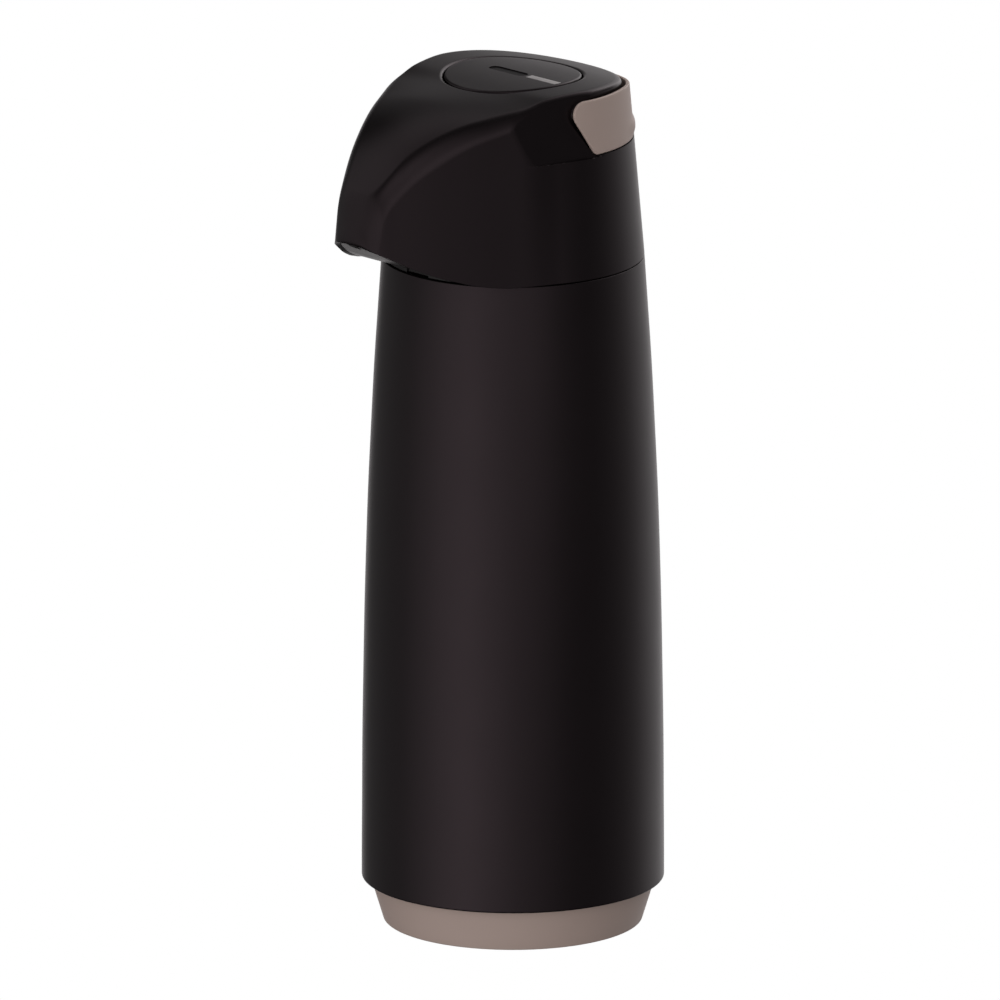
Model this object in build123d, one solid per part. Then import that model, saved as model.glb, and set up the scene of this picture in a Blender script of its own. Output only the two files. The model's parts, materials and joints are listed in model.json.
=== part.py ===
from build123d import *
import os
from math import sin, cos, tan, radians, degrees, atan2, hypot, pi, sqrt

# Slim pump-action vacuum airpot.  Millimetres.  The origin is the centre of the
# underside, +Z up, the pouring nose points to -Y and +X is the right-hand side
# of the head as seen from behind the nose.
os.makedirs("parts", exist_ok=True)

# ---------------------------------------------------------------- dimensions
SEAM = 271.86            # joint plane between body and lid
WALL = 2.2               # moulded wall
BODY_R = [(59.0, 17.44), (59.7, 17.8), (59.98, 18.8), (60.03, 25.0), (59.92, 45.0),
          (59.75, 75.0), (59.37, 100.0), (58.88, 127.0), (58.22, 152.0), (57.38, 177.0),
          (56.22, 202.0), (55.02, 226.0), (53.62, 248.0), (52.05, 271.46)]
BASE_R0, BASE_R1, BASE_H = 51.0, 56.7, 17.2
PAD_R, PAD_H = 45.0, 1.8
GLASS_OUT, GLASS_IN, GLASS_T = 46.0, 41.5, 1.5
MOUTH_Z = SEAM - 6.65    # lip of the flask
NECK_R = 17.0            # bore of the flask's neck
HEAD_R = 52.05           # lid wall radius at the seam
DRAFT, NOSE_DRAFT = 0.0857, 0.057
TANGENT = 68.0           # where the nose leaves the round wall, degrees off the nose
NOSE = [(28.94, 44.68), (38.15, 40.35), (49.99, 34.51), (60.82, 28.82), (69.02, 24.25),
        (76.85, 19.50), (81.74, 16.40), (86.09, 13.40), (89.23, 10.38), (91.45, 6.68),
        (92.36, 3.24), (92.57, 0.0)]
TOP = 74.0               # highest line of the crowned top, above the seam
CROWN_K = 415.0          # the top falls by a * a / CROWN_K ahead of and behind the axis
CROWN = [(36.0, 71.2), (45.0, 69.4), (54.0, 66.5), (63.0, 62.1), (71.0, 56.0),
         (78.0, 48.3), (84.0, 40.4), (88.0, 30.5), (91.05, 20.0), (93.05, 4.0)]
LOWER = [(38.0, 0.0), (44.0, 0.5), (50.0, 1.5), (54.4, 2.5), (57.8, 3.6), (63.2, 5.4), (69.9, 8.2),
         (74.6, 10.5), (78.0, 12.4), (81.4, 14.3), (85.1, 16.4), (88.2, 18.2), (90.6, 19.8),
         (94.0, 21.6)]
BUTTON_R, WELL_R = 27.4, 28.4
STROKE = 18.0
INSET_R = 41.7           # wall of the plateau behind the handle
PIV_A, PIV_Z, EAR_R = 4.69, 65.66, 5.35  # handle pivot: forward, above seam, ear radius
EAR_NA, EAR_NZ = 0.848, 0.530            # normal of the ear's slanted front edge, forward and down
BAND_Z0, BAND_T = 49.0, 2.4
POCKET_GAP = 0.7
RECESS = (0.1966, 0.9646, 0.1759, 54.93) # thumb recess plane: forward, sideways, up, distance
RECESS_Z = 48.3                          # its floor above the seam
PIN_R = 2.0
HINGE_Y, HINGE_Z = 56.0, SEAM - 0.15
KNUCKLE_R, HPIN_R = 3.3, 1.6
LATCH_TRAVEL = 2.0
VALVE_HOLE_Y = 11.2      # air passage in the pump's floor, behind the delivery pipe


# ------------------------------------------------------------------- helpers
def save(shape, name):
    shape.label = name
    export_step(shape, f"parts/{name}.step")
    return shape


def turned(pts):
    """Solid of revolution from a closed (radius, height) outline."""
    return revolve(Plane.XZ * make_face(Polyline(*pts, close=True)), Axis.Z)


def rod(r, z0, z1, x=0.0, y=0.0):
    return Pos(x, y, z0) * Cylinder(r, z1 - z0, align=(Align.CENTER, Align.CENTER, Align.MIN))


def pipe_z(ri, ro, z0, z1, x=0.0, y=0.0):
    return rod(ro, z0, z1, x, y) - rod(ri, z0 - 1, z1 + 1, x, y)


def bar_x(r, x0, x1, y, z):
    return Plane(origin=(x0, y, z), x_dir=(0, 1, 0), z_dir=(1, 0, 0)) * Cylinder(
        r, x1 - x0, align=(Align.CENTER, Align.CENTER, Align.MIN))


def block(x0, x1, y0, y1, z0, z1):
    return Pos(x0, y0, z0) * Box(x1 - x0, y1 - y0, z1 - z0, align=(Align.MIN, Align.MIN, Align.MIN))


def side_slab(pts, half=70.0):
    """Closed (y, z) outline extruded to both sides along X."""
    f = make_face(Polyline(*[(0, y, z) for y, z in pts], close=True))
    return extrude(f, amount=half, dir=(1, 0, 0), both=True)


def offset_line(pts, d):
    """Open polyline moved sideways by d (to its left for d > 0)."""
    out = []
    for i, (x, y) in enumerate(pts):
        x0, y0 = pts[max(i - 1, 0)]
        x1, y1 = pts[min(i + 1, len(pts) - 1)]
        L = hypot(x1 - x0, y1 - y0)
        out.append((x - d * (y1 - y0) / L, y + d * (x1 - x0) / L))
    return out


def draft_at(a, t):
    b = degrees(atan2(t, a))
    w = min(max((75 - b) / 25.0, 0), 1)
    w = w * w * (3 - 2 * w)
    return DRAFT + (NOSE_DRAFT - DRAFT) * w


def outline(zh, inset=0.0):
    """Plan of the lid wall at height zh above the seam, as a face."""
    r = HEAD_R - DRAFT * zh - inset
    base = [(HEAD_R * cos(radians(TANGENT)), HEAD_R * sin(radians(TANGENT)))] + NOSE
    full = base + [(a, -t) for a, t in reversed(base[:-1])]
    pts = []
    for i, (a, t) in enumerate(full):
        if i == 0 or i == len(full) - 1:
            s = 1 if i == 0 else -1
            pts.append((r * cos(radians(TANGENT)), s * r * sin(radians(TANGENT))))
            continue
        a0, t0 = full[i - 1]
        a1, t1 = full[i + 1]
        L = hypot(a1 - a0, t1 - t0)
        na, nt = -(t1 - t0) / L, (a1 - a0) / L
        d = draft_at(a, abs(t)) * zh + inset
        pts.append((a - na * d, t - nt * d))
    z = SEAM + zh
    p3 = [Vector(t, -a, z) for a, t in pts]
    ta = radians(TANGENT)
    t_in = Vector(-cos(ta), -sin(ta), 0)
    t_out = Vector(-cos(ta), sin(ta), 0)
    nose = Spline(*p3, tangents=[t_in, t_out])
    rear = ThreePointArc(p3[-1], Vector(0, r, z), p3[0])
    return make_face([nose, rear])


def lid_prism(inset, z0=-4.0, z1=84.0):
    return loft([outline(z0, inset), outline(z1, inset)], ruled=True)


def crown_line(drop):
    """Side view of the top: (forward, above seam) points, lowered by drop."""
    pts = [(float(a), TOP - a * a / CROWN_K) for a in (-72, -58, -44, -30, -16, 0, 14, 27)] + CROWN
    return offset_line(pts, -drop) if drop else pts


def under_crown(drop):
    """Everything below the crown surface, lowered by drop."""
    flat = [(0, -a, SEAM + z) for a, z in crown_line(drop)]
    curve = Spline(*flat)
    low = [(0, flat[-1][1], SEAM - 20), (0, flat[0][1], SEAM - 20)]
    f = make_face([curve, Polyline(flat[-1], low[0], low[1], flat[0])])
    return extrude(f, amount=70, dir=(1, 0, 0), both=True)


def below_lower(lift, a_from=38.0):
    """Everything under the rising lower edge of the nose."""
    pts = [(-a, SEAM + z + lift) for a, z in LOWER]
    return side_slab([(-a_from, SEAM - 30)] + pts + [(-110, SEAM + LOWER[-1][1] + lift), (-110, SEAM - 30)])


def band_top(a):
    """Top edge of the carrying band above the seam, at forward distance a."""
    return PIV_Z + EAR_R - (0.0038 * (-a - 15.0) ** 2 if a < -15.0 else 0.0)


# side view of the handle ear: (y, z) outline grown by g
def ear_outline(g, rear=70.0, top=None):
    nx, nz = -EAR_NA, -EAR_NZ
    py, pz = -PIV_A, SEAM + PIV_Z
    r = EAR_R + g
    z0 = SEAM + BAND_Z0 - g
    tang = (py + nx * r, pz + nz * r)
    k = (tang[1] - z0) / EAR_NA      # run down the slanted edge to the lower edge
    foot = (tang[0] + EAR_NZ * k, z0)
    arc = []
    a0, a1 = atan2(nz, nx), radians(-270)
    a1 = a1 if a1 < a0 else a1 - 2 * pi
    for i in range(13):
        a = a0 + (a1 - a0) * i / 12
        arc.append((py + r * cos(a), pz + r * sin(a)))
    arc[-1] = (py, pz + r)
    pts = [foot] + arc
    if top is None:
        pts += [(float(y), SEAM + band_top(-y) + g) for y in (15, 20, 25, 30, 35, 40, 45, 50, 55, 60)]
        pts += [(60.0, z0)]
    else:
        pts += [(py, SEAM + top), (rear, SEAM + top), (rear, z0)]
    return pts


def finger_recess(back=0.0):
    """Thumb recess ahead of the ear on the +X side: a plane cut down to a small ledge."""
    na, nx, nz, d = RECESS
    n = Vector(nx, -na, nz)
    o = Vector(0, 0, SEAM) + n * (d - back)
    pl = Plane(origin=o, x_dir=Vector(0, nz, na).normalized(), z_dir=n)
    half = pl * Box(160, 160, 40, align=(Align.CENTER, Align.CENTER, Align.MIN))
    return half & block(0, 90, -90, 90, SEAM + RECESS_Z - back, SEAM + 130)


# ==================================================================== BODY
def outer_shell():
    out = [Vector(r, 0, z) for r, z in BODY_R]
    side = Spline(*out[3:], tangents=[Vector(0, 0, 1), Vector(-0.066, 0, 1)])
    foot = Polyline(out[0], out[1], out[2], out[3])
    inn = [(r - WALL, z) for r, z in BODY_R[3:]]
    iv = [Vector(r, 0, z) for r, z in inn]
    inner = Spline(*iv, tangents=[Vector(0, 0, 1), Vector(-0.066, 0, 1)])
    rim = Polyline(out[-1], iv[-1])
    hem = Polyline(out[0], Vector(57.83, 0, 17.44), iv[0])
    s = revolve(make_face([foot, side, rim, inner, hem]), Axis.Z)
    # hinge knuckles behind the rim, with webs into the wall
    for sx in (1, -1):
        x0, x1 = sorted((sx * 7.2, sx * 12.0))
        k = bar_x(KNUCKLE_R, x0, x1, HINGE_Y, HINGE_Z)
        web = block(x0, x1, 50.2, HINGE_Y + 3.2, SEAM - 13.25, SEAM - 0.55) & side_slab(
            [(50.2, SEAM - 13.25), (HINGE_Y + 3.2, SEAM - 2.65), (HINGE_Y + 3.2, SEAM - 0.55), (50.2, SEAM - 0.55)])
        s += (k + web)
        s -= bar_x(HPIN_R, x0 - 1, x1 + 1, HINGE_Y, HINGE_Z)
    inner_cut = turned([(0, BODY_R[-2][1] - 6), (BODY_R[-2][0] - WALL, BODY_R[-2][1]),
                        (BODY_R[-1][0] - WALL, BODY_R[-1][1]), (BODY_R[-1][0] - WALL, SEAM + 10), (0, SEAM + 10)])
    return s - inner_cut


def base_cap():
    pts = [(0, PAD_H), (PAD_R + 0.2, PAD_H), (PAD_R + 0.2, 0.2), (BASE_R0 - 1.0, 0.2),
           (BASE_R0 - 0.1, 0.6), (BASE_R0 + 0.5, 1.5), (BASE_R1 - 0.4, BASE_H - 1.2),
           (BASE_R1, BASE_H + 0.2), (57.4, BASE_H + 0.2), (57.4, 30.0), (55.2, 30.0),
           (55.2, 20.0), (54.0, BASE_H + 0.5), (49.2, 4.4), (0, 4.4)]
    s = turned(pts)
    # ribs that carry the flask's cushion
    ribs = pipe_z(17.0, 19.0, 4.2, 11.6) + pipe_z(29.0, 31.0, 4.2, 14.0)
    for i in range(6):
        ribs += Rot(0, 0, 60 * i) * block(-1.0, 1.0, 19.0, 29.2, 4.2, 11.0)
        ribs += Rot(0, 0, 60 * i) * block(-1.0, 1.0, 30.8, 50.0, 4.2, 9.5)
    cone = turned([(0, 3), (49.6, 4.0), (53.4, 14.0), (0, 14.0)])
    return s + (ribs & cone)


def foot_pad():
    s = rod(PAD_R, 0, PAD_H - 0.0)
    for r in (22.0, 30.0, 38.0):
        s -= pipe_z(r - 0.8, r + 0.8, -1, 0.6)
    return s


def flask_cushion():
    return turned([(0, 14.2), (10, 14.2), (10, 16.6), (26, 18.4), (34, 21.4), (39.0, 26.4),
                   (40.8, 26.4), (36.5, 19.6), (33.0, 16.6), (33.0, 14.2), (0, 14.2)][:-1]
                  ) - rod(10.0, 10, 14.19)


def glass(r, t, z_bot, z_sh, neck, z_top, dome):
    """Closed-bottom glass bottle: outer radius r, wall t, neck outer radius neck."""
    o = Polyline((0, 0, z_bot), (dome * 0.5, 0, z_bot))
    body = [
        (0.0, z_bot), (r * 0.45, z_bot + 1.2), (r * 0.8, z_bot + 7.0), (r * 0.96, z_bot + 15.5),
        (r, z_bot + 25.0)]
    sh = [(r, z_sh - 30), (r * 0.97, z_sh - 20), (r * 0.84, z_sh - 9.0),
          (neck + (r - neck) * 0.32, z_sh - 2.0), (neck + 0.6, z_sh + 4.0), (neck, z_sh + 9.0)]
    def wall(off):
        b = [Vector(max(x - off, 0), 0, z + off * (1 - i / 4)) for i, (x, z) in enumerate(body)]
        s = [Vector(x - off, 0, z - (off * 0.6 if 1 < i < 4 else 0)) for i, (x, z) in enumerate(sh)]
        return b, s
    b0, s0 = wall(0)
    b1, s1 = wall(t)
    top0, top1 = Vector(neck, 0, z_top), Vector(neck - t, 0, z_top)
    e = [Spline(*b0, tangents=[Vector(1, 0, 0), Vector(0, 0, 1)]), Line(b0[-1], s0[0]),
         Spline(*s0, tangents=[Vector(0, 0, 1), Vector(0, 0, 1)]), Line(s0[-1], top0),
         Line(top0, top1), Line(top1, s1[-1]),
         Spline(*s1, tangents=[Vector(0, 0, 1), Vector(0, 0, 1)]), Line(s1[0], b1[-1]),
         Spline(*b1, tangents=[Vector(1, 0, 0), Vector(0, 0, 1)]), Line(b1[0], b0[0])]
    return revolve(make_face(e), Axis.Z)


def flask_outer_glass():
    return glass(GLASS_OUT, GLASS_T, 18.6, SEAM - 23.25, 21.8, MOUTH_Z - 1.6, 20)


def flask_inner_glass():
    s = glass(GLASS_IN, GLASS_T, 24.0, SEAM - 27.25, NECK_R + GLASS_T, MOUTH_Z - 1.6, 18)
    # rounded lip that closes the vacuum space between the two walls
    lip = turned([(NECK_R, MOUTH_Z - 1.6), (NECK_R, MOUTH_Z - 0.5), (NECK_R + 0.5, MOUTH_Z),
                  (21.3, MOUTH_Z), (21.8, MOUTH_Z - 0.5), (21.8, MOUTH_Z - 1.6)])
    return s + lip


def shoulder_gasket():
    z0, z1 = SEAM - 18.85, SEAM - 14.05
    return turned([(22.4, z0), (26.4, z0), (26.4, z1), (22.4, z1)])


def neck_collar():
    top = SEAM - 0.9
    deck = SEAM - 9.85
    s = turned([(24.6, SEAM - 13.85), (28.0, SEAM - 13.85), (28.0, deck), (46.6, deck), (46.6, SEAM - 17.25),
                (49.4, SEAM - 17.25), (49.6, SEAM - 1.65), (49.6, top), (27.2, top), (26.0, top - 1.4),
                (25.2, deck), (24.6, deck - 0.4)])
    # slot for the latch at the front
    s -= block(-5.2, 5.2, -49.2, -41.6, deck - 1.4, SEAM + 1)
    # pocket ribs under the deck
    for i in range(12):
        a = 15 + 30 * i
        s += Rot(0, 0, a) * (block(-0.8, 0.8, 28.0, 46.8, deck - 3.2, deck + 0.2))
    return s


def tube_holder():
    z = MOUTH_Z
    ring = turned([(15.2, z - 5.0), (16.6, z - 5.0), (16.7, z), (20.6, z), (20.6, z + 1.0),
                   (15.2, z + 1.0)])
    s = ring + pipe_z(4.05, 6.0, z - 5.0, z + 1.0)
    for i in range(3):
        s += Rot(0, 0, 30 + 120 * i) * block(5.6, 15.6, -1.0, 1.0, z - 5.0, z - 1.5)
    return s


def dip_tube():
    s = pipe_z(3.0, 4.0, 31.0, MOUTH_Z + 2.4)
    bead = turned([(4.0, MOUTH_Z + 1.05), (4.9, MOUTH_Z + 1.05), (4.9, MOUTH_Z + 1.7), (4.0, MOUTH_Z + 1.7)])
    cut = Plane(origin=(0, 0, 31.0), x_dir=(1, 0, 0), z_dir=(0, 0.5, -0.866)) * Box(
        20, 20, 10, align=(Align.CENTER, Align.CENTER, Align.MIN))
    return (s + bead) - cut


def tube_seal():
    z = MOUTH_Z
    return turned([(3.0, z + 2.4), (5.4, z + 2.4), (5.4, z + 1.75), (6.3, z + 1.75),
                   (6.3, z + 3.6), (3.4, z + 3.6), (3.0, z + 3.2)])


def hinge_pin():
    s = bar_x(HPIN_R, -12.0, 12.0, HINGE_Y, HINGE_Z)
    return s + bar_x(2.4, 12.0, 12.8, HINGE_Y, HINGE_Z)


# ===================================================================== LID
def head_shell():
    s = lid_prism(0.0) & under_crown(0.0)
    s = s & block(-80, 80, -130, 80, SEAM, SEAM + 120)
    s -= below_lower(0.0)
    # pocket for the carrying handle: the plateau stands inside the band
    pocket = side_slab(ear_outline(POCKET_GAP, top=120.0)) - rod(INSET_R, SEAM - 5, SEAM + 100)
    s -= pocket
    for m in (False, True):
        h = finger_recess()
        s -= mirror(h, about=Plane.YZ) if m else h
    cav = lid_prism(WALL) & under_crown(WALL + 0.2)
    inner_pocket = side_slab(ear_outline(POCKET_GAP + WALL, top=120.0)) - rod(INSET_R - WALL, SEAM - 5, SEAM + 100)
    cav -= inner_pocket
    for m in (False, True):
        h = finger_recess(WALL)
        cav -= mirror(h, about=Plane.YZ) if m else h
    s -= cav
    # button well and the seat of the handle pins
    s -= rod(WELL_R, SEAM + 60, SEAM + 90)
    for sx in (1, -1):
        boss = bar_x(4.4, 35.0, 41.4, -PIV_A, SEAM + PIV_Z) & rod(INSET_R - 0.05, SEAM, SEAM + TOP - 2)
        boss = boss if sx > 0 else mirror(boss, about=Plane.YZ)
        s += boss
        x0, x1 = (34.0, 46.0) if sx > 0 else (-46.0, -34.0)
        s -= bar_x(PIN_R, x0, x1, -PIV_A, SEAM + PIV_Z)
    # hinge knuckle at the rear
    k = bar_x(KNUCKLE_R, -6.8, 6.8, HINGE_Y, HINGE_Z)
    web = block(-6.8, 6.8, 50.4, HINGE_Y, SEAM + 0.5, SEAM + 6.0) & side_slab(
        [(50.4, SEAM + 0.5), (HINGE_Y, SEAM + 0.5), (HINGE_Y, SEAM + 3.0), (51.0, SEAM + 6.0), (50.4, SEAM + 6.0)])
    s += (k + web)
    s -= bar_x(HPIN_R + 0.05, -8, 8, HINGE_Y, HINGE_Z)
    return s


def lid_base():
    """Bottom plate of the lid with the plug that presses on the flask's mouth."""
    plate = rod(48.6, SEAM + 1.5, SEAM + 3.6)
    lip = pipe_z(43.5, 51.3, SEAM + 0.1, SEAM + 3.6) & block(-60, 60, -60, -37.0, SEAM - 1, SEAM + 9)
    lip = lip & (lid_prism(WALL + 0.5))
    plug = pipe_z(16.0, 23.6, SEAM - 4.6, SEAM + 1.6)
    s = plate + lip + plug
    s -= rod(3.7, SEAM - 8, SEAM + 6)                      # riser of the delivery pipe
    s -= block(-3.8, 3.8, -8.0, 0.0, SEAM + 1.9, SEAM + 6.0)
    for i in range(4):
        s -= Rot(0, 0, 45 + 90 * i) * rod(3.0, SEAM, SEAM + 6, 11.5, 0)
    s -= block(-7.8, 4.8, -53.0, -43.0, SEAM - 1, SEAM + 2.4)   # finger slot of the latch
    s -= block(-5.0, 5.0, -47.2, -42.2, SEAM - 1, SEAM + 5.0)   # latch leg
    for i in range(4):
        s -= Rot(0, 0, 45 + 90 * i) * rod(1.6, SEAM, SEAM + 6, 39.0, 0)
    return s


def mouth_gasket():
    z = SEAM - 4.6
    return turned([(15.2, z - 0.9), (23.4, z - 0.9), (23.4, z), (16.0, z), (16.0, z + 2.0), (15.2, z + 2.0)])


def pump_cylinder():
    """Guide tube of the button, on four screw bosses."""
    s = pipe_z(28.6, 30.8, SEAM + 3.6, SEAM + 68.0)
    for i in range(4):
        f = block(26.0, 43.5, -4.5, 4.5, SEAM + 3.6, SEAM + 6.6) + rod(4.5, SEAM + 3.6, SEAM + 12.0, 39.0, 0)
        f -= rod(1.25, SEAM, SEAM + 11.0, 39.0, 0)
        s += Rot(0, 0, 45 + 90 * i) * (f - rod(28.6, SEAM, SEAM + 14))
    s -= block(-4.4, 4.4, -34.0, 0.0, SEAM + 3.0, SEAM + 11.3)   # tunnel of the delivery pipe
    return s


def pump_floor():
    """Round plate under the bellows, on a short ring that stands on the lid's bottom plate."""
    s = rod(28.5, SEAM + 11.3, SEAM + 13.2) - rod(4.6, SEAM + 11.0, SEAM + 14.0, 0, VALVE_HOLE_Y)
    s += pipe_z(18.0, 20.0, SEAM + 3.6, SEAM + 11.5)
    return s - block(-4.4, 4.4, -34.0, 0.0, SEAM + 3.0, SEAM + 11.3)   # tunnel of the delivery pipe


def sweep_tube(pts, radii, ro, ri):
    path = FilletPolyline(*[Vector(*p) for p in pts], radius=radii)
    e0 = path @ 0
    t0 = path % 0
    pl = Plane(origin=e0, z_dir=t0)
    a = sweep(pl * Circle(ro), path=path)
    b = sweep(pl * Circle(ri), path=path)
    return a - b


PIPE = 7.35              # height of the delivery pipe's run above the seam
VALVE_Y = -38.6
SPOUT_BEND, SPOUT_END = (-66.0, SEAM + 50.0), (-81.4, SEAM + 26.6)   # (y, z) of the pipe in the nose


def inlet_elbow():
    s = sweep_tube([(0, 0, SEAM - 2.95), (0, 0, SEAM + PIPE), (0, VALVE_Y, SEAM + PIPE), (0, VALVE_Y, SEAM + 15.4)],
                   [5.0, 5.0], 3.6, 2.6)
    return s


def tip_valve_housing():
    z = SEAM + 15.4
    return turned([(2.6, 0), (3.6, 0), (3.6, 1.0), (7.0, 4.0), (7.0, 19.0), (3.6, 22.0), (3.6, 23.0),
                   (2.6, 23.0), (2.6, 21.6), (5.8, 18.6), (5.8, 4.6), (2.6, 1.6)]
                  ).move(Location((0, VALVE_Y, z)))


def tip_valve_ball():
    return Pos(0, VALVE_Y, SEAM + 15.4 + 7.55) * Sphere(4.4)


def spout_pipe():
    z = SEAM + 38.4
    return sweep_tube([(0, VALVE_Y, z), (0, VALVE_Y, z + 10.0), (0, *SPOUT_BEND), (0, *SPOUT_END)],
                      [5.5, 9.0], 3.6, 2.6)


def nose_frame():
    """Position of the spout's outlet: origin and direction it pours along."""
    p0, p1 = Vector(0, *SPOUT_BEND), Vector(0, *SPOUT_END)
    return p1, (p1 - p0).normalized()


def spout_nozzle():
    o, d = nose_frame()
    pl = Plane(origin=o, x_dir=(1, 0, 0), z_dir=d)
    s = pl * Cylinder(2.7, 9.3, align=(Align.CENTER, Align.CENTER, Align.MIN))
    s += pl * Cylinder(4.2, 2.0, align=(Align.CENTER, Align.CENTER, Align.MIN))
    s -= pl * Cylinder(1.8, 30, align=(Align.CENTER, Align.CENTER, Align.CENTER))
    return s


def nose_cover():
    """Plate that closes the underside of the nose."""
    slab = below_lower(3.0, 52.2) - below_lower(0.9, 52.2)
    slab = slab & block(-60, 60, -88.4, -52.2, SEAM - 5, SEAM + 40)
    s = slab & lid_prism(WALL + 0.5)
    o, d = nose_frame()
    pl = Plane(origin=o, x_dir=(1, 0, 0), z_dir=d)
    return s - pl * Cylinder(3.0, 60, align=(Align.CENTER, Align.CENTER, Align.CENTER))


def lid_screws():
    g = None
    for i in range(4):
        s = rod(1.25, SEAM + 1.5, SEAM + 10.5, 39.0, 0) + rod(2.6, SEAM + 0.0, SEAM + 1.5, 39.0, 0)
        s -= Pos(39.0, 0, SEAM - 0.2) * Box(3.6, 0.7, 1.2)
        s = Rot(0, 0, 45 + 90 * i) * s
        g = s if g is None else g + s
    return g


def handle_pins():
    a = bar_x(PIN_R, 35.6, 44.3, -PIV_A, SEAM + PIV_Z)
    return a + mirror(a, about=Plane.YZ)


def latch_leaf():
    """Leaf spring behind the latch, screwed flat to the lid's bottom plate."""
    s = block(-9.0, 9.0, -42.85, -42.35, SEAM + 3.6, SEAM + 6.4)
    for x0, x1 in ((-9.0, -6.0), (6.0, 9.0)):
        s += block(x0, x1, -42.85, -36.0, SEAM + 3.6, SEAM + 4.1)
    return s


def air_check_valve():
    """Soft flap under the bellows that lets air pass only towards the flask."""
    z = SEAM + 11.2
    s = turned([(4.6, z), (6.0, z), (6.0, z - 0.5), (3.9, z - 0.9), (3.9, z + 2.0), (4.6, z + 2.0)])
    s += pipe_z(1.4, 4.2, z - 0.9, z - 0.1)
    return Pos(0, VALVE_HOLE_Y, 0) * s


def bellows():
    z0, z1, n = SEAM + 13.2, SEAM + 46.8, 7
    out = [(21.0, z0 + 1.2)]
    dz = (z1 - z0 - 2.4) / n
    for i in range(n):
        out += [(24.2, z0 + 1.2 + dz * (i + 0.5)), (20.6, z0 + 1.2 + dz * (i + 1))]
    out[-1] = (21.0, z1 - 1.2)
    inn = [(r - 1.0, z) for r, z in out]
    pts = [(15.5, z0), (21.0, z0)] + out + [(21.0, z1), (15.5, z1), (15.5, z1 - 1.2)] \
        + inn[::-1] + [(15.5, z0 + 1.2)]
    return turned(pts)


def return_spring():
    z0, z1, r, w = SEAM + 13.2, SEAM + 46.8, 12.5, 0.7
    pitch = (z1 - z0 - 2 * w) / 7.0
    h = Helix(pitch=pitch, height=pitch * 7.0, radius=r, center=(0, 0, z0 + w))
    return sweep(Plane(origin=h @ 0, z_dir=h % 0) * Circle(w), path=h, is_frenet=True)


# ==================================================================== PUMP
def pump_plate():
    z = SEAM + 46.8
    s = pipe_z(6.0, 24.9, z, z + 2.2)
    s += pipe_z(22.6, 24.9, z, z + 5.0)
    s += turned([(24.7, z), (28.45, z), (28.45, z + 2.4), (27.4, z + 2.4), (27.4, z + 2.2), (24.7, z + 2.2)])
    hub = pipe_z(2.0, 4.4, z, z + 7.0)
    for i in range(4):
        hub += Rot(0, 0, 90 * i) * block(-1.0, 1.0, 4.2, 23.0, z + 1.0, z + 2.2)
        hub -= Rot(0, 0, 90 * i) * block(-1.0, 1.0, 4.4, 6.2, z - 1, z + 1.0)
    return s + hub


def inlet_valve():
    z = SEAM + 46.8
    return rod(8.6, z - 1.9, z - 1.3) + rod(1.7, z - 1.9, z + 4.6)


# ================================================================== BUTTON
def button_cap():
    z = SEAM + TOP
    skirt = SEAM + 49.5
    s = rod(BUTTON_R, skirt, z + 5) & under_crown(0.0)
    s -= rod(BUTTON_R - 2.0, skirt - 1, z + 5) & under_crown(2.4)
    # bare oval plate recess and the seat of the pointer strip
    s -= Pos(-2.5, 0, z - 0.45) * extrude(SlotOverall(20.0, 5.2), amount=3)
    return s - block(9.0, 25.6, -1.9, 1.9, z - 1.0, z + 3)


def pointer_strip():
    z = SEAM + TOP
    return block(9.0, 25.6, -1.9, 1.9, z - 1.0, z + 3) & under_crown(0.0)


# ================================================================== HANDLE
def handle_band():
    rz = lambda z, off: HEAD_R - DRAFT * (z - SEAM) - off
    zb, zt = SEAM + BAND_Z0, SEAM + PIV_Z + EAR_R
    ring = turned([(rz(zb, BAND_T), zb), (rz(zb, 0), zb), (rz(zt, 0), zt), (rz(zt, BAND_T), zt)])
    # finger lip round the back
    lip = turned([(rz(zb + 1.4, 1.0), zb + 1.4), (rz(zb + 1.4, -0.9), zb + 1.4), (rz(zb + 6.6, -0.7), zb + 6.6),
                  (rz(zb + 7.4, 1.0), zb + 7.4)])
    lip = lip & side_slab([(29.0, zb), (70, zb), (70, zt), (29.0, zt)])
    side = side_slab(ear_outline(0.0))
    s = (ring + lip) & side
    for sx in (1, -1):
        boss = bar_x(4.2, 42.5, 45.2, -PIV_A, SEAM + PIV_Z)
        hole = bar_x(PIN_R + 0.05, 40.0, 44.7, -PIV_A, SEAM + PIV_Z)
        cone = turned([(0, zb), (rz(zb, 1.0), zb), (rz(zt, 1.0), zt), (0, zt)])
        boss = boss & cone
        if sx < 0:
            boss, hole = mirror(boss, about=Plane.YZ), mirror(hole, about=Plane.YZ)
        s = (s + boss) - hole
    return s


# =================================================================== LATCH
def latch_tab():
    s = block(-7.4, 4.4, -50.2, -45.0, SEAM + 0.3, SEAM + 1.7)
    s += block(-4.2, 4.2, -46.8, -45.0, SEAM - 5.0, SEAM + 6.4)
    s = s & rod(51.0, SEAM - 10, SEAM + 10)
    return s


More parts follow.
